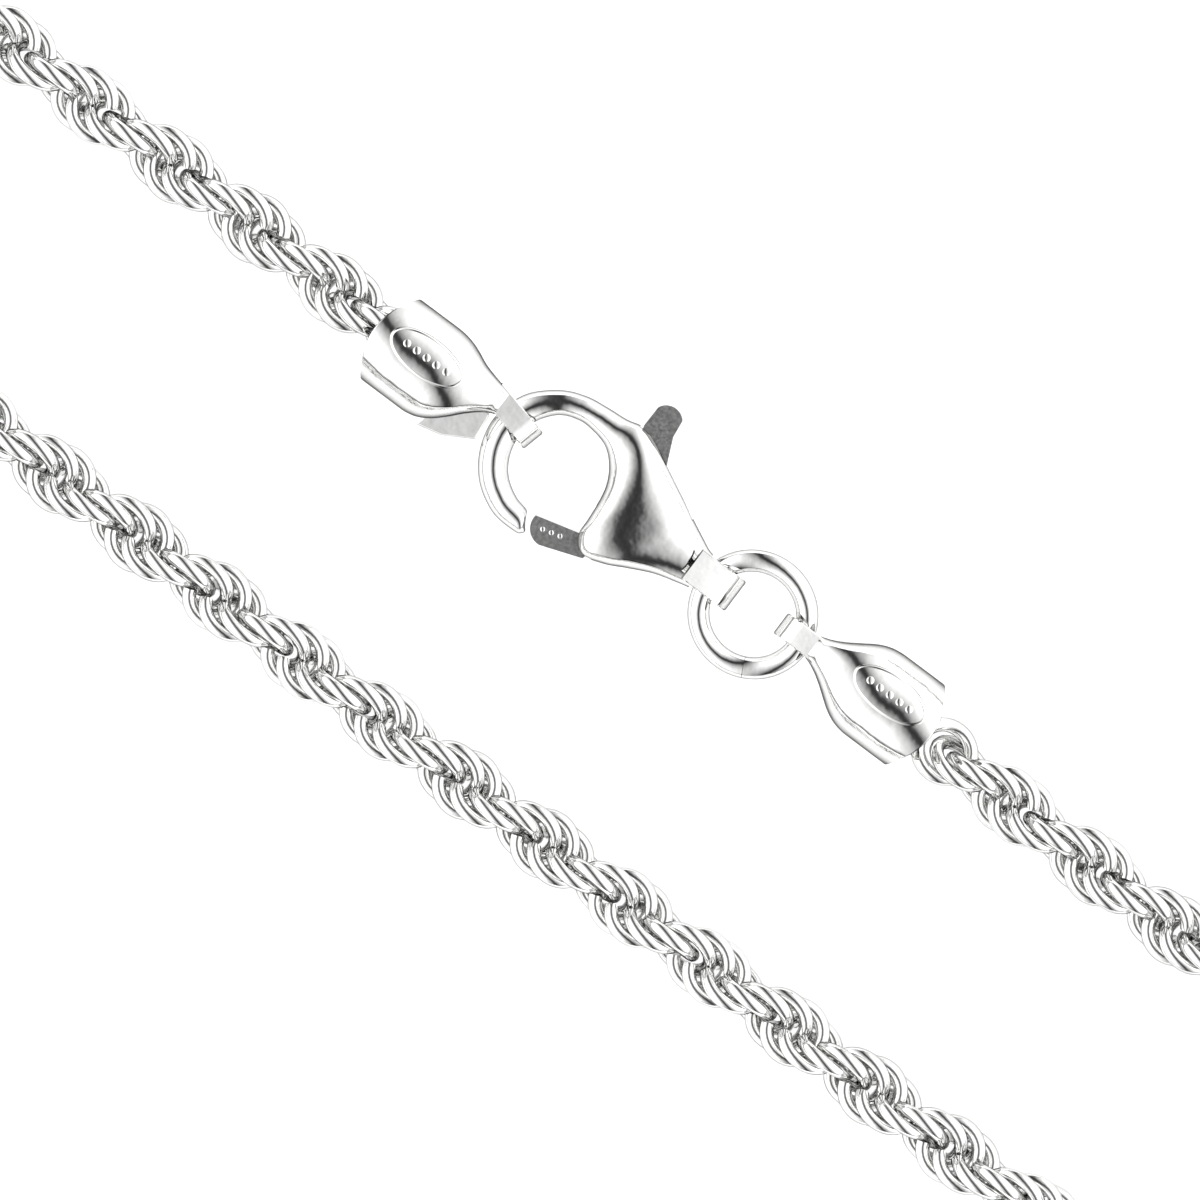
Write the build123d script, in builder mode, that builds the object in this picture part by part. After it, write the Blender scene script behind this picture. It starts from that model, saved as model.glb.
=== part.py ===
"""Rope-chain necklace, closed by a lobster clasp, lying flat on a table.

Millimetres, +Z up, the table at z = 0.  +X runs along the longest side of the laid-out necklace.
The clasp and its end caps share one tilted frame (u, v): u runs from the claw to the jump ring,
v points across it, and its origin is the centre of the claw's opening.
"""
import math
import os

from build123d import *

os.makedirs("parts", exist_ok=True)

# ---- driving dimensions ------------------------------------------------------------------
rope_diameter = 2.95
rope_height = rope_diameter / 2            # centre line of a rope that lies on the table
rope_end_height = 1.95                     # centre line where the rope enters a cap

clasp_centre = (-1.785, 6.345)             # centre of the claw's opening on the table
clasp_direction = (0.8, -0.6, 0)           # the u axis
clasp_height = 1.6                         # mid-plane of the claw and shell

claw_opening_radius = 2.12
claw_outer_radius = 3.3
claw_thickness = 1.3
claw_root_angle = 38                       # degrees from the u axis, inside the shell
claw_tip_angle = 274
shell_thickness = 2.6
pocket_bottom = 0.75                       # inside faces of the shell's two walls
pocket_top = 2.05

pivot = (3.25, -0.8)                       # gate pivot in (u, v)
pin_radius = 0.4
pin_clearance = 0.03
pin_bury = 0.2                             # depth of the pin in each wall
lever_bottom = 1.25
lever_top = 1.95
spring_wire = 0.14
spring_radius = 0.56
spring_pitch = 0.15
spring_turns = 1.38
hidden_leg = 0.8
free_leg = 1.08                            # its end shows in the claw's opening

ring_centre = (10.1, 0.08)
ring_radius = 2.28                         # centre line of the wire
ring_wire = 0.92
ring_tilt = 14                             # degrees about the u axis

strap_thickness = 0.3
strap_width = 1.05
strap_radius = 0.9                         # inside the caps' folded straps, to mid-sheet
tail_width = 1.5
tail_half_height = 0.95                    # from the mid-plane to the middle of each leg
cap_radius = 2.07
cap_bore = 1.78
cap_length = 6.1
cap_height = cap_radius                    # the cap lies on the table


def clasp_plane(height):
    """A level plane at this height whose x and y are the clasp's u and v."""
    return Plane(
        origin=(clasp_centre[0], clasp_centre[1], height),
        x_dir=clasp_direction,
        z_dir=(0, 0, 1),
    )


def clasp_point(u, v, height=0.0):
    """A point of the clasp's frame in the table's frame."""
    return clasp_plane(0).from_local_coords(Vector(u, v, height))


def upright_plane(u, v, turn):
    """An upright plane: x points along u turned by `turn` degrees, y points up."""
    origin = clasp_point(u, v)
    along = clasp_plane(0).x_dir.rotate(Axis.Z, turn)
    return Plane(origin=origin, x_dir=along, z_dir=along.cross(Vector(0, 0, 1)))


def save(part, name):
    part.label = name
    export_step(part, f"parts/{name}.step")
    print(name, "volume", round(part.volume, 3), "solids", len(part.solids()))


# ---- rope --------------------------------------------------------------------------------
# Each stretch is a list of points; neighbouring stretches meet face to face in a straight run.
rope_routes = {
    "rope_a": [
        (-8.35, 11.77, rope_end_height),
        (-14.56, 16.64, rope_height),
        (-22.10, 22.27, rope_height),
    ],
    "rope_left_fold": [
        (-22.10, 22.27, rope_height),
        (-27.54, 26.34, rope_height),
        (-39.80, 26.34, rope_height),
        (-45.80, 20.25, rope_height),
        (-46.30, 6.45, rope_height),
        (-46.30, -8.55, rope_height),
        (-45.80, -22.75, rope_height),
        (-36.40, -28.35, rope_height),
        (-27.00, -22.75, rope_height),
        (-27.00, -12.95, rope_height),
        (-40.40, -5.45, rope_height),
        (-41.00, 3.95, rope_height),
        (-35.80, 10.15, rope_height),
        (-28.10, 10.29, rope_height),
        (-22.02, 5.71, rope_height),
    ],
    "rope_lower": [
        (-22.02, 5.71, rope_height),
        (14.55, -21.85, rope_height),
    ],
    "rope_right_fold": [
        (14.55, -21.85, rope_height),
        (19.99, -25.95, rope_height),
        (30.00, -26.35, rope_height),
        (39.80, -26.05, rope_height),
        (45.80, -19.75, rope_height),
        (46.30, -6.05, rope_height),
        (46.30, 8.95, rope_height),
        (45.80, 22.75, rope_height),
        (36.40, 28.35, rope_height),
        (27.00, 22.75, rope_height),
        (27.00, 10.65, rope_height),
        (40.40, 1.55, rope_height),
        (41.00, -8.65, rope_height),
        (36.00, -15.25, rope_height),
        (28.07, -15.97, rope_height),
        (22.05, -11.34, rope_height),
    ],
    "rope_b": [
        (22.05, -11.34, rope_height),
        (17.25, -7.65, rope_height),
        (12.89, -4.25, rope_end_height),
    ],
}


def bend_radii(points):
    """The largest round bend that fits at each corner, from the shorter run beside it."""
    radii = []
    for before, corner, after in zip(points, points[1:], points[2:]):
        run_in = Vector(corner) - Vector(before)
        run_out = Vector(after) - Vector(corner)
        half_turn = math.radians(run_in.get_angle(run_out)) / 2
        shorter_run = min(run_in.length, run_out.length)
        radii.append(0.45 * shorter_run / math.tan(half_turn))
    return radii


rope_total = 0.0
for rope_name, route in rope_routes.items():
    radii = bend_radii(route)
    with BuildPart() as rope:
        with BuildLine() as rope_path:
            if radii:
                FilletPolyline(*route, radius=radii)
            else:
                Line(*route)
        centre_line = rope_path.wire()
        with BuildSketch(Plane(origin=centre_line @ 0, z_dir=centre_line % 0)):
            Circle(rope_diameter / 2)
        sweep(path=centre_line)
    rope_total += centre_line.length
    section = math.pi * rope_diameter**2 / 4
    print(
        rope_name,
        "bend radii", [round(radius, 1) for radius in radii],
        "volume / (section x length)", round(rope.part.volume / (section * centre_line.length), 4),
    )
    save(rope.part, rope_name)
print("rope length", round(rope_total, 2))

# ---- clasp body: claw and hollow shell in one piece -----------------------------------------
claw_section = upright_plane(0, 0, claw_root_angle)
with BuildPart() as claw:
    with BuildSketch(claw_section):
        with Locations(((claw_opening_radius + claw_outer_radius) / 2, clasp_height)):
            RectangleRounded(claw_outer_radius - claw_opening_radius, claw_thickness, 0.45)
    revolve(
        axis=Axis(clasp_point(0, 0), (0, 0, 1)),
        revolution_arc=claw_tip_angle - claw_root_angle,
    )

with BuildPart() as shell:
    with BuildSketch(clasp_plane(clasp_height)):
        with BuildLine():
            Polyline((0.9, 3.15), (1.83, 3.6), (2.74, 3.32), (3.5, 2.95), (6.9, 1.2))
            Polyline((6.9, 1.2), (6.9, -0.72), (5.56, -1.1), (4.56, -1.66), (3.5, -2.2))
            RadiusArc((3.5, -2.2), (2.45, -1.75), 0.75)
            Polyline((2.45, -1.75), (2.05, 1.3))
            ThreePointArc((2.05, 1.3), (1.62, 2.05), (0.9, 3.15))
        make_face()
    extrude(amount=shell_thickness / 2, both=True)
    fillet(shell.edges().filter_by(Plane.XY), 0.4)

with BuildPart() as clasp_body:
    add(claw.part)
    add(shell.part)
    # the pocket for the gate lever, open along the top edge and at the lower left
    with BuildSketch(clasp_plane(pocket_bottom)):
        with BuildLine():
            Polyline(
                (1.55, 5.5), (1.72, 2.9), (2.45, 1.4), (2.5, -0.2), (1.5, -0.2), (1.5, -3.6),
                (3.35, -3.6), (3.35, -1.7), (4.3, -1.25), (5.4, 0.0), (5.75, 1.1), (5.75, 5.5),
                close=True,
            )
        make_face()
    extrude(amount=pocket_top - pocket_bottom, mode=Mode.SUBTRACT)
    # blind holes for the pivot pin
    with BuildSketch(clasp_plane(pocket_bottom - pin_bury)):
        with Locations(pivot):
            Circle(pin_radius)
    extrude(amount=pocket_top - pocket_bottom + 2 * pin_bury, mode=Mode.SUBTRACT)
    # neck block between the legs of the tail strap
    with BuildSketch(clasp_plane(clasp_height)):
        with Locations((6.85, 0.24)):
            Rectangle(0.9, tail_width)
    extrude(amount=tail_half_height - strap_thickness / 2, both=True)
save(clasp_body.part, "clasp_body")

# ---- tail strap: folded round the jump ring and soldered to the neck --------------------------
with BuildPart() as tail_strap:
    with BuildSketch(upright_plane(0, 0.24 - tail_width / 2, 0)):
        with BuildLine():
            Line((6.9, clasp_height + tail_half_height), (7.98, clasp_height + tail_half_height))
            CenterArc((7.98, clasp_height), tail_half_height, -90, 180)
            Line((7.98, clasp_height - tail_half_height), (6.9, clasp_height - tail_half_height))
        trace(line_width=strap_thickness)
    extrude(amount=-tail_width)
save(tail_strap.part, "tail_strap")

# ---- gate lever: arm, hub and thumb tab -------------------------------------------------------
with BuildPart() as gate_lever:
    with BuildSketch(clasp_plane(lever_bottom)):
        with BuildLine():
            Polyline((0.42, -2.03), (2.3, -1.54), (2.52, -0.6), (2.7, 1.0), (1.78, 3.65), (1.8, 4.6))
            ThreePointArc((1.8, 4.6), (2.38, 5.0), (2.95, 4.75))
            Polyline((2.95, 4.75), (3.04, 3.98), (3.53, 2.9), (3.95, 0.0), (3.9, -1.15), (3.2, -1.7))
            Polyline((3.2, -1.7), (3.05, -2.3), (1.25, -2.94))
            ThreePointArc((1.25, -2.94), (0.72, -2.78), (0.42, -2.03))
        make_face()
        with Locations(pivot):
            Circle(pin_radius + pin_clearance, mode=Mode.SUBTRACT)
    extrude(amount=lever_top - lever_bottom)
save(gate_lever.part, "gate_lever")

# ---- pivot pin, hidden between the walls ------------------------------------------------------
with BuildPart() as pivot_pin:
    with BuildSketch(clasp_plane(pocket_bottom - pin_bury)):
        with Locations(pivot):
            Circle(pin_radius)
    extrude(amount=pocket_top - pocket_bottom + 2 * pin_bury)
save(pivot_pin.part, "pivot_pin")

# ---- gate spring: a flat coil round the pin, under the lever ----------------------------------
spring_foot = clasp_point(pivot[0], pivot[1], pocket_bottom + 0.14)
with BuildPart() as gate_spring:
    with BuildLine() as coil_line:
        Helix(spring_pitch, spring_pitch * spring_turns, spring_radius, center=spring_foot)
    with BuildSketch(Plane(origin=coil_line.line @ 0, z_dir=coil_line.line % 0)):
        Circle(spring_wire / 2)
    sweep(path=coil_line.wire(), is_frenet=True)
    with BuildSketch(Plane(origin=coil_line.line @ 0, z_dir=-(coil_line.line % 0))):
        Circle(spring_wire / 2)
    extrude(amount=hidden_leg)
    with BuildSketch(Plane(origin=coil_line.line @ 1, z_dir=coil_line.line % 1)):
        Circle(spring_wire / 2)
    extrude(amount=free_leg)
save(gate_spring.part, "gate_spring")

# ---- jump ring --------------------------------------------------------------------------------
ring_plane = Plane(
    origin=clasp_point(*ring_centre, clasp_height),
    x_dir=clasp_direction,
    z_dir=Vector(0, 0, 1).rotate(Axis((0, 0, 0), clasp_direction), ring_tilt),
)
with BuildPart() as jump_ring:
    with BuildLine(ring_plane) as ring_line:
        CenterArc((0, 0), ring_radius, 0, 360)
    with BuildSketch(Plane(origin=ring_line.line @ 0, z_dir=ring_line.line % 0)):
        Circle(ring_wire / 2)
    sweep(path=ring_line.wire())
save(jump_ring.part, "jump_ring")
print("jump ring axis", ring_plane.z_dir, "centre", ring_plane.origin)


# ---- end caps ---------------------------------------------------------------------------------
def end_cap(name, u, v, turn, strap_centre, strap_turn, strap_reach, strap_length, strap_height):
    """A cap whose closed end is at (u, v); `turn` is 0 when its mouth faces along +u."""
    lying = upright_plane(u, v, turn)
    axis_plane = Plane(origin=lying.origin + Vector(0, 0, cap_height), x_dir=lying.x_dir, z_dir=lying.z_dir)
    level = Plane(origin=lying.origin, x_dir=lying.x_dir, z_dir=(0, 0, 1))
    strap_plane = upright_plane(*strap_centre, turn + strap_turn)
    strap_plane = Plane(
        origin=strap_plane.origin - strap_plane.z_dir * strap_width / 2,
        x_dir=strap_plane.x_dir,
        z_dir=strap_plane.z_dir,
    )
    fold = strap_reach + strap_radius
    with BuildPart() as cap:
        with BuildSketch(axis_plane):
            with BuildLine():
                Polyline((0, 0), (0, 0.72), (0.25, 0.95))
                Line((0.25, 0.95), (2.3, cap_radius - 0.12))
                ThreePointArc((2.3, cap_radius - 0.12), (2.5, cap_radius - 0.03), (2.75, cap_radius))
                Polyline((2.75, cap_radius), (cap_length, cap_radius), (cap_length, cap_bore))
                Polyline((cap_length, cap_bore), (3.4, cap_bore), (3.0, 0))
                Line((3.0, 0), (0, 0))
            make_face()
        revolve(axis=Axis(axis_plane.origin, axis_plane.x_dir))
        # the mouth's edge bulges in the middle
        with BuildSketch(level):
            with BuildLine():
                ThreePointArc((cap_length - 0.75, -cap_radius), (cap_length, 0), (cap_length - 0.75, cap_radius))
                Polyline(
                    (cap_length - 0.75, cap_radius), (cap_length - 0.75, cap_radius + 1),
                    (cap_length + 1, cap_radius + 1), (cap_length + 1, -cap_radius - 1),
                    (cap_length - 0.75, -cap_radius - 1), (cap_length - 0.75, -cap_radius),
                )
            make_face()
        extrude(amount=3 * cap_radius, mode=Mode.SUBTRACT)
        # the strap that is folded round the ring or the claw
        with BuildSketch(strap_plane):
            with BuildLine():
                Line((strap_length, strap_height + strap_radius), (fold, strap_height + strap_radius))
                CenterArc((fold, strap_height), strap_radius, 90, 180)
                Line((fold, strap_height - strap_radius), (strap_length, strap_height - strap_radius))
            trace(line_width=strap_thickness)
        extrude(amount=strap_width)
        # keep the bore open
        with BuildSketch(Plane(origin=axis_plane.origin + axis_plane.x_dir * 3.4, z_dir=axis_plane.x_dir)):
            Circle(cap_bore)
        extrude(amount=cap_length, mode=Mode.SUBTRACT)
    save(cap.part, name)


end_cap(
    "end_cap_b", u=12.9, v=0.45, turn=0,
    strap_centre=(12.9, 0.5), strap_turn=0, strap_reach=-1.52, strap_length=1.4, strap_height=1.75,
)
end_cap(
    "end_cap_a", u=-3.45, v=0.2, turn=180,
    strap_centre=(0, 0), strap_turn=-14, strap_reach=1.7, strap_length=5.0, strap_height=1.6,
)
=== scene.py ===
"""Rope-chain necklace with a lobster clasp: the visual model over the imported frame."""
import math

import bmesh
import bpy
from mathutils import Matrix, Vector


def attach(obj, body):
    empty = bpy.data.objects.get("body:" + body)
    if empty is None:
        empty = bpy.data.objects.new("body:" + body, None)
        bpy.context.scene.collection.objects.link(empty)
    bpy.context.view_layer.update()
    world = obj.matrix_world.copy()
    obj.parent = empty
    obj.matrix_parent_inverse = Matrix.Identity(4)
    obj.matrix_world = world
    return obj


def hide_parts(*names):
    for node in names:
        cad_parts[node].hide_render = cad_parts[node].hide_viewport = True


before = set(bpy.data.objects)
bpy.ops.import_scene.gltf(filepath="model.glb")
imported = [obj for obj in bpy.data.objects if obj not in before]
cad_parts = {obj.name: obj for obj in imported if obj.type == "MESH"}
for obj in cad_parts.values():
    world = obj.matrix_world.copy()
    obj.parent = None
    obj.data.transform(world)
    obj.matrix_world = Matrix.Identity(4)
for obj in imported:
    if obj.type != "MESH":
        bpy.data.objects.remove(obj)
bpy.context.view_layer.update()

scene = bpy.context.scene
mm = 0.001
upward = Vector((0, 0, 1))


def link_object(name, data):
    obj = bpy.data.objects.new(name, data)
    scene.collection.objects.link(obj)
    return obj


# ---- camera: straight down, with a long lens ---------------------------------------------
view_centre = Vector((0.0, 0.95, 1.5)) * mm
view_width = 49.8 * mm
camera_distance = 0.6
sensor_width = 36
camera_data = bpy.data.cameras.new("camera")
camera_data.sensor_width = sensor_width
camera_data.lens = sensor_width * camera_distance / view_width
camera_data.clip_start = 0.05
camera_data.clip_end = 10
camera = link_object("camera", camera_data)
camera.location = view_centre + upward * camera_distance
scene.camera = camera

# ---- the rope's line -----------------------------------------------------------------------
floor_height = 1.475                       # of the rope's axis where it lies on the floor, in mm
end_height = 1.95                          # of its axis at both ends, inside the caps
line_steps = 24                            # points on the line for each step of the route
route_plan = [
    (-8.35, 11.77), (-14.56, 16.64), (-22.10, 22.27), (-27.54, 26.34), (-39.80, 26.34),
    (-45.80, 20.25), (-46.30, 6.45), (-46.30, -8.55), (-45.80, -22.75), (-36.40, -28.35),
    (-27.00, -22.75), (-27.00, -12.95), (-40.40, -5.45), (-41.00, 3.95), (-35.80, 10.15),
    (-28.10, 10.29), (-22.02, 5.71), (14.55, -21.85), (19.99, -25.95), (30.00, -26.35),
    (39.80, -26.05), (45.80, -19.75), (46.30, -6.05), (46.30, 8.95), (45.80, 22.75),
    (36.40, 28.35), (27.00, 22.75), (27.00, 10.65), (40.40, 1.55), (41.00, -8.65),
    (36.00, -15.25), (28.07, -15.97), (22.05, -11.34), (17.25, -7.65), (12.89, -4.25),
]
route = [(x, y, floor_height) for x, y in route_plan]
route[0] = (*route_plan[0], end_height)
route[-1] = (*route_plan[-1], end_height)


def curve_points(points, steps):
    """Points along the smooth spline that these points steer, read from Blender's own curve."""
    curve = bpy.data.curves.new("rope_line", "CURVE")
    curve.dimensions = "3D"
    curve.resolution_u = steps
    spline = curve.splines.new("NURBS")
    spline.points.add(len(points) - 1)
    for target, source in zip(spline.points, points):
        target.co = (source[0] * mm, source[1] * mm, source[2] * mm, 1)
    spline.order_u = 3
    spline.use_endpoint_u = True
    holder = link_object("rope_line", curve)
    mesh = bpy.data.meshes.new_from_object(holder)
    found = [vertex.co.copy() for vertex in mesh.vertices]
    bpy.data.objects.remove(holder)
    bpy.data.curves.remove(curve)
    bpy.data.meshes.remove(mesh)
    return found


rope_line = curve_points(route, line_steps)
distances = [0.0]
for before, after in zip(rope_line, rope_line[1:]):
    distances.append(distances[-1] + (after - before).length)
rope_length = distances[-1]


def rope_frame(distance, cursor):
    """The rope's place at this distance, with x to its side, y up and z back along it.

    The cursor is the last line point before that place; it is handed back to start the next call.
    """
    while cursor < len(rope_line) - 2 and distances[cursor + 1] < distance:
        cursor += 1
    step = distances[cursor + 1] - distances[cursor]
    share = min(max((distance - distances[cursor]) / step, 0), 1)
    place = rope_line[cursor].lerp(rope_line[cursor + 1], share)
    along = rope_line[cursor + 1] - rope_line[cursor]
    if cursor + 2 < len(rope_line):
        along = along.lerp(rope_line[cursor + 2] - rope_line[cursor + 1], share * 0.5)
    if cursor > 0:
        along = along.lerp(rope_line[cursor] - rope_line[cursor - 1], (1 - share) * 0.5)
    along.normalize()
    side = along.cross(upward).normalized()
    up = side.cross(along)
    matrix = Matrix((
        (side.x, up.x, -along.x, place.x),
        (side.y, up.y, -along.y, place.y),
        (side.z, up.z, -along.z, place.z),
        (0, 0, 0, 1),
    ))
    return matrix, cursor


# ---- rope links ----------------------------------------------------------------------------
wire = 0.6 * mm
link_radius = 1.175 * mm                   # centre line of the wire
link_step = 0.811 * mm                     # along the rope, from one link to the next
link_turn = math.radians(34.5)             # about the rope, from one link to the next
link_start = math.radians(50)
link_half_gap = math.radians(20)           # half of each link's opening
link_steps = 32                            # round the link
link_sides = 12                            # round the wire
end_margin = 0.2 * mm                      # least distance from a link's middle to an end of the line


def add_wire_ring(vertices, faces, matrix, radius, thickness, half_gap, steps, sides):
    """One open ring of wire, upright in x and z with its gap at +z, put in place by the matrix."""
    first = len(vertices)
    for step in range(steps + 1):
        angle = half_gap + (2 * math.pi - 2 * half_gap) * step / steps
        for side in range(sides):
            turn = 2 * math.pi * side / sides
            reach = radius + thickness / 2 * math.cos(turn)
            to_side = thickness / 2 * math.sin(turn)
            point = Vector((math.sin(angle) * reach, to_side, math.cos(angle) * reach))
            vertices.append(matrix @ point)
    for step in range(steps):
        for side in range(sides):
            a = first + step * sides + side
            b = first + step * sides + (side + 1) % sides
            faces.append((a, b, b + sides, a + sides))
    faces.append(tuple(first + side for side in reversed(range(sides))))
    faces.append(tuple(first + steps * sides + side for side in range(sides)))


def make_object(name, vertices, faces, body, sharp=35):
    """A mesh object that rides on a body, smooth but for edges over `sharp` degrees."""
    mesh = bpy.data.meshes.new(name)
    mesh.from_pydata([tuple(vertex) for vertex in vertices], [], faces)
    shape = bmesh.new()
    shape.from_mesh(mesh)
    bmesh.ops.recalc_face_normals(shape, faces=shape.faces)
    shape.to_mesh(mesh)
    shape.free()
    mesh.shade_smooth()
    mesh.set_sharp_from_angle(angle=math.radians(sharp))
    obj = link_object(name, mesh)
    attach(obj, body)
    return obj


link_vertices = []
link_faces = []
cursor = 0
link_count = int((rope_length - 2 * end_margin) / link_step)
for number in range(link_count):
    rope_matrix, cursor = rope_frame(end_margin + number * link_step, cursor)
    link_matrix = rope_matrix @ Matrix.Rotation(link_start + number * link_turn, 4, "Z")
    add_wire_ring(
        link_vertices, link_faces, link_matrix,
        link_radius, wire, link_half_gap, link_steps, link_sides,
    )
links = make_object("rope_links", link_vertices, link_faces, "necklace", sharp=60)
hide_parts("rope_a", "rope_left_fold", "rope_lower", "rope_right_fold", "rope_b")

# ---- clasp frame: u from the claw to the ring, v across, in millimetres -----------------------
clasp_centre = Vector((-1.785, 6.345, 0))
u_axis = Vector((0.8, -0.6, 0))
v_axis = Vector((0.6, 0.8, 0))
clasp_height = 1.6                         # of the middle of the claw, the shell and the jump ring


def clasp_point(u, v, height):
    return (clasp_centre + u_axis * u + v_axis * v + Vector((0, 0, height))) * mm


def smooth_between(rows, share):
    """A value of each column on the smooth curve through the rows, at 0 to 1 of its length."""
    place = share * (len(rows) - 1)
    index = min(int(place), len(rows) - 2)
    t = place - index
    picked = [rows[min(max(index + offset, 0), len(rows) - 1)] for offset in (-1, 0, 1, 2)]
    values = []
    for before, start, end, after in zip(*picked):
        values.append(0.5 * (
            2 * start + (end - before) * t
            + (2 * before - 5 * start + 4 * end - after) * t * t
            + (3 * start - before - 3 * end + after) * t * t * t
        ))
    return values


def boxier(value, fullness):
    """A sine or cosine pushed outwards: 2 keeps an oval round, more makes it boxy."""
    return math.copysign(abs(value) ** (2 / fullness), value)


def skin_faces(rows, sides, first=0):
    """Faces between neighbouring rows of points, with both ends closed."""
    faces = []
    for row in range(rows - 1):
        for side in range(sides):
            a = first + row * sides + side
            b = first + row * sides + (side + 1) % sides
            faces.append((a, b, b + sides, a + sides))
    faces.append(tuple(first + side for side in reversed(range(sides))))
    faces.append(tuple(first + (rows - 1) * sides + side for side in range(sides)))
    return faces


def prism(outline, bottom, top):
    """An upright block over an outline in u and v."""
    vertices = [clasp_point(u, v, height) for height in (bottom, top) for u, v in outline]
    return vertices, skin_faces(2, len(outline))


# ---- clasp body: the claw's wire swells into the shell -------------------------------------------
claw_rows = [
    # inner angle, outer angle, inner radius, outer radius, half height, fullness
    (-87.5, -80.5, 2.34, 2.86, 0.22, 2.0),
    (-88.8, -81.8, 2.14, 2.98, 0.48, 2.0),
    (-93.0, -88.0, 2.05, 3.10, 0.62, 2.0),
    (-110, -110, 2.02, 3.20, 0.65, 2.0),
    (-135, -135, 2.02, 3.26, 0.66, 2.0),
    (-160, -160, 2.04, 3.32, 0.67, 2.0),
    (-185, -185, 2.10, 3.40, 0.68, 2.0),
    (-210, -210, 2.20, 3.40, 0.68, 2.0),
    (-235, -235, 2.28, 3.32, 0.68, 2.0),
    (-255, -255, 2.26, 3.30, 0.70, 2.1),
]
shell_rows = [
    # left u, left v, right u, right v, half height, fullness
    (0.05, 2.22, 0.15, 3.34, 0.72, 2.2),
    (0.95, 2.02, 1.05, 3.42, 0.80, 2.3),
    (1.57, 1.50, 1.90, 3.60, 0.94, 2.4),
    (1.97, 0.82, 2.65, 3.38, 1.10, 2.5),
    (2.15, 0.10, 3.35, 3.02, 1.22, 2.6),
    (2.24, -0.90, 4.00, 2.68, 1.29, 2.8),
    (2.32, -1.68, 4.55, 2.40, 1.31, 3.0),
    (2.90, -2.20, 5.05, 2.15, 1.30, 3.0),
    (3.90, -1.95, 5.55, 1.88, 1.24, 2.8),
    (4.80, -1.50, 6.05, 1.62, 1.11, 2.6),
    (5.80, -1.03, 6.55, 1.38, 0.95, 2.5),
    (6.80, -0.74, 7.00, 1.16, 0.80, 2.5),
    (7.30, -0.62, 7.30, 1.08, 0.77, 2.5),
]
body_steps = 184
body_sides = 48
pocket_bottom = 1.15
pocket_top = 2.05
pocket_outline = [
    (1.55, 5.5), (1.72, 2.9), (2.45, 1.4), (2.5, -0.2), (1.5, -0.2), (1.5, -3.6),
    (3.35, -3.6), (3.35, -1.7), (4.3, -1.25), (5.4, 0.0), (5.75, 1.1), (5.75, 5.5),
]

body_rows = []
for inner_angle, outer_angle, inner, outer, half, fullness in claw_rows:
    inner_turn = math.radians(inner_angle)
    outer_turn = math.radians(outer_angle)
    body_rows.append((
        inner * math.cos(inner_turn), inner * math.sin(inner_turn),
        outer * math.cos(outer_turn), outer * math.sin(outer_turn),
        half, fullness,
    ))
body_rows += shell_rows
clasp_vertices = []
for step in range(body_steps + 1):
    left_u, left_v, right_u, right_v, half, fullness = smooth_between(body_rows, step / body_steps)
    for side in range(body_sides):
        turn = 2 * math.pi * side / body_sides
        share = (1 + boxier(math.cos(turn), fullness)) / 2
        clasp_vertices.append(clasp_point(
            left_u + (right_u - left_u) * share,
            left_v + (right_v - left_v) * share,
            clasp_height + half * boxier(math.sin(turn), fullness),
        ))
clasp = make_object("clasp_shell", clasp_vertices, skin_faces(body_steps + 1, body_sides), "clasp")
pocket = make_object("pocket", *prism(pocket_outline, pocket_bottom, pocket_top), "clasp")
cut = clasp.modifiers.new("pocket", "BOOLEAN")
cut.operation = "DIFFERENCE"
cut.solver = "EXACT"
cut.object = pocket
cut_clasp = clasp.evaluated_get(bpy.context.evaluated_depsgraph_get())
cut_mesh = bpy.data.meshes.new_from_object(cut_clasp)
clasp.modifiers.clear()
clasp.data = cut_mesh
bpy.data.objects.remove(pocket)
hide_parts("clasp_body")

# ---- jump ring, with its closed butt joint -----------------------------------------------------
ring_radius = 2.28 * mm                    # centre line of the wire
ring_wire = 0.92 * mm
ring_half_gap = math.radians(0.25)         # half of the butt joint's opening
ring_tilt = math.radians(14)               # from flat, about u
ring_steps = 120                           # round the ring
ring_sides = 28                            # round the wire
ring_centre = clasp_point(10.1, 0.08, clasp_height)
ring_normal = upward * math.cos(ring_tilt) - v_axis * math.sin(ring_tilt)
ring_side = ring_normal.cross(u_axis).normalized()
to_joint = (u_axis * 0.45 - ring_side * 0.893).normalized()
joint_side = to_joint.cross(ring_normal)
ring_matrix = Matrix((
    (joint_side.x, ring_normal.x, to_joint.x, ring_centre.x),
    (joint_side.y, ring_normal.y, to_joint.y, ring_centre.y),
    (joint_side.z, ring_normal.z, to_joint.z, ring_centre.z),
    (0, 0, 0, 1),
))
ring_vertices = []
ring_faces = []
add_wire_ring(
    ring_vertices, ring_faces, ring_matrix,
    ring_radius, ring_wire, ring_half_gap, ring_steps, ring_sides,
)
jump_ring = make_object("jump_ring_wire", ring_vertices, ring_faces, "ring")
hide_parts("jump_ring")

# ---- straps folded out of sheet ------------------------------------------------------------------
sheet = 0.3                                # thickness
sheet_bevel = 0.05
fold_steps = 24


def sheet_section(half_width):
    """Corners of the sheet's bevelled section, across the strap and out of the sheet's middle."""
    thick = sheet / 2
    thin = thick - sheet_bevel
    narrow = half_width - sheet_bevel
    return [
        (-half_width, -thin), (-narrow, -thick), (narrow, -thick), (half_width, -thin),
        (half_width, thin), (narrow, thick), (-narrow, thick), (-half_width, thin),
    ]


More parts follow.
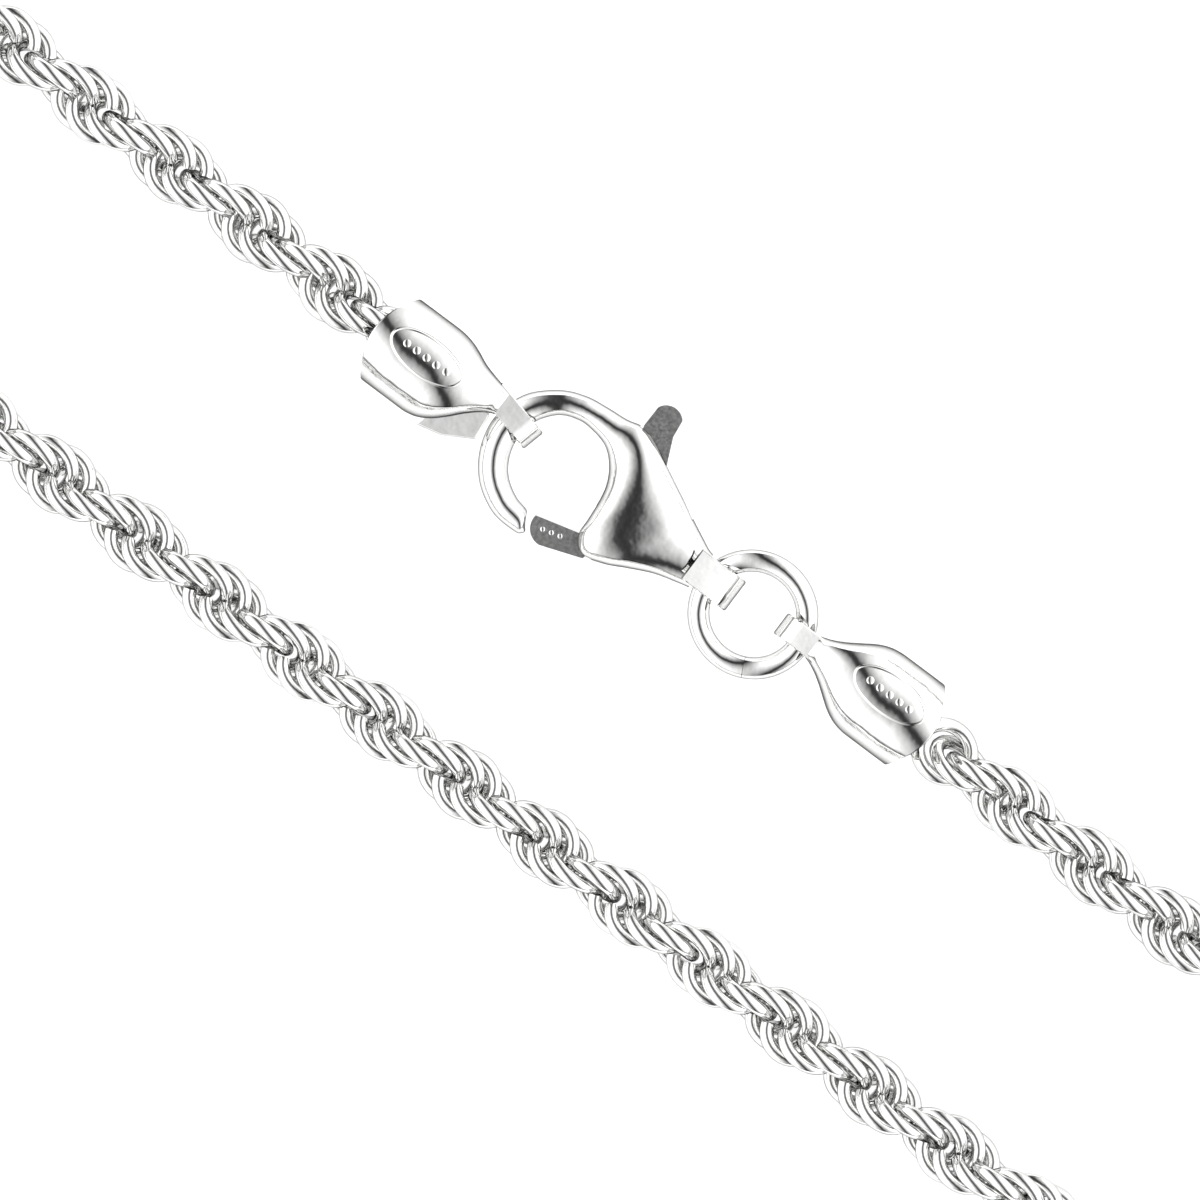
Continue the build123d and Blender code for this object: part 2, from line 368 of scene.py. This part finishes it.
def add_strap(
    vertices, faces, start, turn_degrees, reach, length, height, radius, half_width, slope_degrees,
):
    """A strip that slopes down to a fold and runs level back below, at a turn from u.

    From the start, `reach` is how far off the fold is and `length` how far off both ends of the strip
    are. The fold has its own radius, and its middle is at this height.
    """
    turn = math.radians(turn_degrees)
    slope = math.radians(slope_degrees)
    upper_length = length - (reach + radius) + radius * math.sin(slope)
    upper_rise = radius * math.cos(slope) + upper_length * math.tan(slope)
    places = [(length, upper_rise, slope)]
    for step in range(fold_steps + 1):
        angle = slope + (math.pi - slope) * step / fold_steps
        places.append((reach + radius - radius * math.sin(angle), radius * math.cos(angle), angle))
    places.append((length, -radius, math.pi))
    first = len(vertices)
    section = sheet_section(half_width)
    for along, rise, lean in places:
        for across, out in section:
            reach_along = along - out * math.sin(lean)
            vertices.append(clasp_point(
                start[0] + math.cos(turn) * reach_along - math.sin(turn) * across,
                start[1] + math.sin(turn) * reach_along + math.cos(turn) * across,
                height + rise + out * math.cos(lean),
            ))
    faces += skin_faces(len(places), len(section), first)


tail_vertices = []
tail_faces = []
add_strap(
    tail_vertices, tail_faces, start=(7.98, 0.24), turn_degrees=180, reach=-0.95, length=1.15,
    height=clasp_height, radius=0.95, half_width=0.75, slope_degrees=13,
)
tail = make_object("tail_fold", tail_vertices, tail_faces, "clasp", sharp=25)
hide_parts("tail_strap")

# ---- end caps ----------------------------------------------------------------------------------
cap_radius = 2.07
cap_bore = 1.78                            # radius of the bore
cap_length = 6.1
cap_sides = 64
skin_length = 4.6                          # from the closed end to the last row of the skin
skin_steps = 48
bore_end = 3.4                             # from the closed end to the bottom of the bore
mouth_bulge = 0.75                         # how much shorter the cap is at its sides than on top
profile_length = 3.5                       # from the closed end to where the cap is a plain tube
cap_profile = [
    # half width, top, bottom, share of the way from the strap's v to the axis, fullness;
    # a row every 0.5 mm from the closed end
    (0.56, 3.05, 1.55, 0.00, 3.2),
    (0.74, 3.42, 1.30, 0.15, 3.0),
    (1.02, 3.68, 1.00, 0.40, 2.8),
    (1.36, 3.86, 0.68, 0.70, 2.6),
    (1.70, 3.99, 0.38, 0.88, 2.3),
    (1.94, 4.08, 0.15, 0.97, 2.1),
    (2.05, 4.13, 0.02, 1.00, 2.0),
    (2.07, 4.14, 0.00, 1.00, 2.0),
]
mouth_rows = [
    # radius, distance from the closed end: over the mouth's rounded edge and down the bore
    (cap_radius, cap_length - 0.07),
    (cap_radius - 0.02, cap_length - 0.02),
    (cap_radius - 0.07, cap_length),
    (cap_bore + 0.06, cap_length),
    (cap_bore, cap_length - 0.06),
    (cap_bore, bore_end),
]
oval_half_length = 1.73
oval_half_width = 0.81
oval_points = 72
oval_line = 0.13                           # thickness of the raised line
cap_pellets = (-1.0, -0.5, 0.0, 0.5, 1.0)  # places along the oval
flap_height = 1.15                         # of the flap's top where v is 0
flap_slope = 0.22                          # rise of its top for each millimetre of v
flap_levels = ((0.3, 1.0), (0.07, 1.0), (0.0, 0.93))  # depth below the top, share of the outline


def cap_skin(cap, along, turn):
    """A point on a cap's outside, this far from its closed end; a turn of 90 degrees is the top."""
    closed_u, direction, strap_v, axis_v = cap
    share = min(along / profile_length, 1)
    half_width, top, bottom, blend, fullness = smooth_between(cap_profile, share)
    return clasp_point(
        closed_u + direction * along,
        strap_v + (axis_v - strap_v) * blend + half_width * boxier(math.cos(turn), fullness),
        (top + bottom) / 2 + (top - bottom) / 2 * boxier(math.sin(turn), fullness),
    )


def add_bead_line(vertices, faces, points, thickness):
    """A closed thin ridge through points that lie on the surface."""
    first = len(vertices)
    sides = 8
    count = len(points)
    for index, point in enumerate(points):
        along = (points[(index + 1) % count] - points[index - 1]).normalized()
        side_way = along.cross(upward).normalized()
        up = side_way.cross(along)
        for side in range(sides):
            turn = 2 * math.pi * side / sides
            outward = side_way * math.cos(turn) + up * math.sin(turn)
            vertices.append(point + outward * thickness / 2 * mm)
    for index in range(count):
        for side in range(sides):
            a = first + index * sides + side
            b = first + index * sides + (side + 1) % sides
            after = sides if index < count - 1 else sides - count * sides
            faces.append((a, b, b + after, a + after))


def add_pellet(vertices, faces, centre, normal, radius, height):
    """A low round pellet standing on a surface."""
    first = len(vertices)
    sides = 16
    side_way = normal.cross(Vector((1, 0, 0))).normalized()
    other_way = normal.cross(side_way)
    levels = ((1.0, -1.0), (1.0, 0.3), (0.86, 0.7), (0.5, 0.93), (0.15, 1.0))
    for spread, rise in levels:
        for side in range(sides):
            turn = 2 * math.pi * side / sides
            around = (side_way * math.cos(turn) + other_way * math.sin(turn)) * radius * spread
            vertices.append(centre + (around + normal * height * rise) * mm)
    faces += skin_faces(len(levels), sides, first)


def add_flap(vertices, faces, outline):
    """A folded flap of sheet under a cap, with a bevelled edge and a top that rises with v."""
    first = len(vertices)
    middle_u = sum(u for u, v in outline) / len(outline)
    middle_v = sum(v for u, v in outline) / len(outline)
    for depth, spread in flap_levels:
        for corner_u, corner_v in outline:
            u = middle_u + (corner_u - middle_u) * spread
            v = middle_v + (corner_v - middle_v) * spread
            vertices.append(clasp_point(u, v, flap_height + flap_slope * v - depth))
    faces += skin_faces(len(flap_levels), len(outline), first)


def add_stamp(vertices, faces, cap, middle_along, middle_across):
    """A raised oval line with a row of pellets in it, on top of a cap."""
    border = []
    for step in range(oval_points):
        turn = 2 * math.pi * step / oval_points
        along = middle_along + oval_half_length * math.cos(turn)
        across = middle_across + oval_half_width * math.sin(turn)
        border.append(cap_skin(cap, along, math.acos(across / cap_radius)))
    add_bead_line(vertices, faces, border, oval_line)
    row_turn = math.acos(middle_across / cap_radius)
    normal = v_axis * math.cos(row_turn) + upward * math.sin(row_turn)
    for offset in cap_pellets:
        centre = cap_skin(cap, middle_along + offset, row_turn)
        add_pellet(vertices, faces, centre, normal, radius=0.17, height=0.06)


def end_cap(name, node, cap, strap, stamp_along, stamp_across, flap=()):
    """A cap: its skin, the open mouth with a bulged edge, the folded strap, a flap and an oval stamp.

    The cap is given by the u of its closed end, its direction along u, the strap's v and the axis's v.
    """
    closed_u, direction, strap_v, axis_v = cap
    vertices = []
    faces = []
    for step in range(skin_steps + 1):
        along = skin_length * step / skin_steps
        for side in range(cap_sides):
            vertices.append(cap_skin(cap, along, 2 * math.pi * side / cap_sides))
    for radius, along in mouth_rows:
        for side in range(cap_sides):
            turn = 2 * math.pi * side / cap_sides
            bulge = mouth_bulge * math.cos(turn) ** 2 if along > bore_end else 0
            vertices.append(clasp_point(
                closed_u + direction * (along - bulge),
                axis_v + radius * math.cos(turn),
                cap_radius + radius * math.sin(turn),
            ))
    faces += skin_faces(skin_steps + 1 + len(mouth_rows), cap_sides)
    add_strap(vertices, faces, **strap)
    if flap:
        add_flap(vertices, faces, flap)
    add_stamp(vertices, faces, cap, stamp_along, stamp_across)
    obj = make_object(name, vertices, faces, "necklace", sharp=40)
    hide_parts(node)


cap_strap = {"radius": 0.9, "half_width": 0.52, "slope_degrees": 12}
ring_strap = {"start": (12.9, 0.5), "turn_degrees": 0, "reach": -1.52, "length": 0.6, "height": 1.75}
claw_strap = {"start": (0, 0), "turn_degrees": 166, "reach": 1.7, "length": 4.2, "height": clasp_height}
end_cap(
    "cap_at_ring", "end_cap_b", cap=(12.9, 1, 0.5, 0.45), strap=ring_strap | cap_strap,
    stamp_along=3.7, stamp_across=0.35,
)
end_cap(
    "cap_at_claw", "end_cap_a", cap=(-3.45, -1, 0.85, 0.2), strap=claw_strap | cap_strap,
    stamp_along=3.62, stamp_across=0.26,
    flap=[(-5.85, -1.99), (-4.76, -1.74), (-3.48, -1.00), (-3.60, 0.19), (-4.6, 0.3), (-5.6, -0.9)],
)

# ---- pellets on the gate's plate -----------------------------------------------------------------
plate_top = 1.95
pellet_vertices = []
pellet_faces = []
for share in (0.0, 0.5, 1.0):
    centre = clasp_point(1.0 + 0.75 * share, -2.32 + 0.2 * share, plate_top)
    add_pellet(pellet_vertices, pellet_faces, centre, upward, radius=0.11, height=0.04)
make_object("gate_pellets", pellet_vertices, pellet_faces, "gate")

# ---- materials -----------------------------------------------------------------------------
wear_scale = 9000                          # spots of about 0.1 mm
wave_scale = 1300                          # waves of about 0.8 mm


def silver(name, roughness, shade=0.93, mottle=0.03, waves=0.25, grain=0.012, edge=0.08):
    """Silver with faint waves in its surface, fine wear, an uneven tone and a painted dark reflection
    along its rim.
    """
    material = bpy.data.materials.new(name)
    material.use_nodes = True
    nodes = material.node_tree.nodes
    wires = material.node_tree.links
    shader = nodes["Principled BSDF"]
    shader.inputs["Metallic"].default_value = 1
    # painted dark reflection: the near-black specular tint darkens the rim of every silhouette,
    # standing in for dark surroundings reflected from below
    shader.inputs["Specular Tint"].default_value = (edge, edge, edge, 1)
    place = nodes.new("ShaderNodeTexCoord")
    wear = nodes.new("ShaderNodeTexNoise")
    wear.inputs["Scale"].default_value = wear_scale
    wear.inputs["Detail"].default_value = 4
    wires.new(place.outputs["Object"], wear.inputs["Vector"])
    spread = nodes.new("ShaderNodeMapRange")
    spread.inputs["To Min"].default_value = roughness * 0.7
    spread.inputs["To Max"].default_value = roughness * 1.3
    wires.new(wear.outputs["Fac"], spread.inputs["Value"])
    wires.new(spread.outputs["Result"], shader.inputs["Roughness"])
    # a colour mix: input 0 is the share, inputs 6 and 7 the colours and output 2 the result
    tone = nodes.new("ShaderNodeMix")
    tone.data_type = "RGBA"
    duller = shade * (1 - 2 * mottle)
    brighter = min(shade * (1 + mottle), 1)
    tone.inputs[6].default_value = (duller, duller, duller * 0.985, 1)
    tone.inputs[7].default_value = (brighter, brighter, brighter * 0.995, 1)
    wires.new(wear.outputs["Fac"], tone.inputs[0])
    wires.new(tone.outputs[2], shader.inputs["Base Color"])
    fine = nodes.new("ShaderNodeBump")
    fine.inputs["Strength"].default_value = grain
    fine.inputs["Distance"].default_value = 0.01 * mm
    wires.new(wear.outputs["Fac"], fine.inputs["Height"])
    swell = nodes.new("ShaderNodeTexNoise")
    swell.inputs["Scale"].default_value = wave_scale
    swell.inputs["Detail"].default_value = 2
    wires.new(place.outputs["Object"], swell.inputs["Vector"])
    broad = nodes.new("ShaderNodeBump")
    broad.inputs["Strength"].default_value = waves
    broad.inputs["Distance"].default_value = 0.05 * mm
    wires.new(swell.outputs["Fac"], broad.inputs["Height"])
    wires.new(fine.outputs["Normal"], broad.inputs["Normal"])
    wires.new(broad.outputs["Normal"], shader.inputs["Normal"])
    return material


polished = silver("polished_silver", 0.07)
rope_silver = silver("rope_silver", 0.09, waves=0.05)
satin = silver("satin_silver", 0.34, shade=0.5, mottle=0.3, waves=0.05, grain=0.8)
steel = silver("steel", 0.25, shade=0.6, waves=0.05)
for name, material, slot_name in (
    ("rope_links", rope_silver, "rope"),
    ("clasp_shell", polished, "clasp"),
    ("tail_fold", polished, "clasp"),
    ("jump_ring_wire", polished, "ring"),
    ("cap_at_ring", polished, "caps"),
    ("cap_at_claw", polished, "caps"),
    ("gate_pellets", polished, "gate"),
):
    obj = bpy.data.objects[name]
    obj.data.materials.clear()
    obj.data.materials.append(material)
for node, material in (("gate_lever", satin), ("pivot_pin", steel), ("gate_spring", steel)):
    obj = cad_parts[node]
    obj.data.materials.clear()
    obj.data.materials.append(material)

# ---- studio: a white paper floor ---------------------------------------------------------------
floor_reach = 0.6                          # from the middle to each side, in metres
white_paper = bpy.data.materials.new("white_paper")
white_paper.use_nodes = True
paper_shader = white_paper.node_tree.nodes["Principled BSDF"]
paper_shader.inputs["Base Color"].default_value = (0.95, 0.95, 0.95, 1)
paper_shader.inputs["Roughness"].default_value = 0.9
paper_shader.inputs["Emission Color"].default_value = (1, 1, 1, 1)
paper_shader.inputs["Emission Strength"].default_value = 0.45
floor_signs = ((-1, -1), (1, -1), (1, 1), (-1, 1))
floor_corners = [(x * floor_reach, y * floor_reach, 0) for x, y in floor_signs]
floor_mesh = bpy.data.meshes.new("floor")
floor_mesh.from_pydata(floor_corners, [], [(0, 1, 2, 3)])
floor_mesh.materials.append(white_paper)
link_object("floor", floor_mesh)

# ---- studio: the surroundings ------------------------------------------------------------------
# two white sides with a dark gap overhead between them, and a dark line along the horizon that
# fades out on the side that v points to
sky_strength = 1.6
gap_stops = ((0.0, 0.02), (0.06, 0.04), (0.14, 0.2), (0.30, 0.5), (0.50, 0.9), (0.65, 1.0))
horizon_stops = ((0.0, 0.05), (0.04, 0.1), (0.13, 0.8), (0.2, 1.0), (1.0, 1.0))
bright_side_stops = ((0.0, 0.0), (0.25, 0.3), (0.6, 1.0))
world = bpy.data.worlds.new("studio")
world.use_nodes = True
sky_nodes = world.node_tree.nodes
sky_wires = world.node_tree.links


def tone_ramp(source, stops):
    """Grey tones over a value from 0 to 1; each stop is a position and a tone."""
    node = sky_nodes.new("ShaderNodeValToRGB")
    elements = node.color_ramp.elements
    while len(elements) < len(stops):
        elements.new(0.5)
    for element, (position, tone) in zip(elements, stops):
        element.position = position
        element.color = (tone, tone, tone, 1)
    sky_wires.new(source, node.inputs["Fac"])
    return node.outputs["Color"]


def blended(how, first, second):
    """Two tones put together in full by one of Blender's blend modes."""
    node = sky_nodes.new("ShaderNodeMix")
    node.data_type = "RGBA"
    node.blend_type = how
    node.inputs[0].default_value = 1
    sky_wires.new(first, node.inputs[6])
    sky_wires.new(second, node.inputs[7])
    return node.outputs[2]


sky_place = sky_nodes.new("ShaderNodeTexCoord")
sky_parts = sky_nodes.new("ShaderNodeSeparateXYZ")
sky_wires.new(sky_place.outputs["Generated"], sky_parts.inputs["Vector"])
off_gap = sky_nodes.new("ShaderNodeMath")
off_gap.operation = "ABSOLUTE"
sky_wires.new(sky_parts.outputs["X"], off_gap.inputs[0])
towards_v = sky_nodes.new("ShaderNodeVectorMath")
towards_v.operation = "DOT_PRODUCT"
towards_v.inputs[1].default_value = v_axis
sky_wires.new(sky_place.outputs["Generated"], towards_v.inputs[0])
gap_tone = tone_ramp(off_gap.outputs["Value"], gap_stops)
horizon_tone = tone_ramp(sky_parts.outputs["Z"], horizon_stops)
bright_side = tone_ramp(towards_v.outputs["Value"], bright_side_stops)
faded_horizon = blended("LIGHTEN", horizon_tone, bright_side)
sky = sky_nodes["Background"]
sky_wires.new(blended("MULTIPLY", gap_tone, faded_horizon), sky.inputs["Color"])
sky.inputs["Strength"].default_value = sky_strength
scene.world = world
scene.view_settings.view_transform = "Standard"
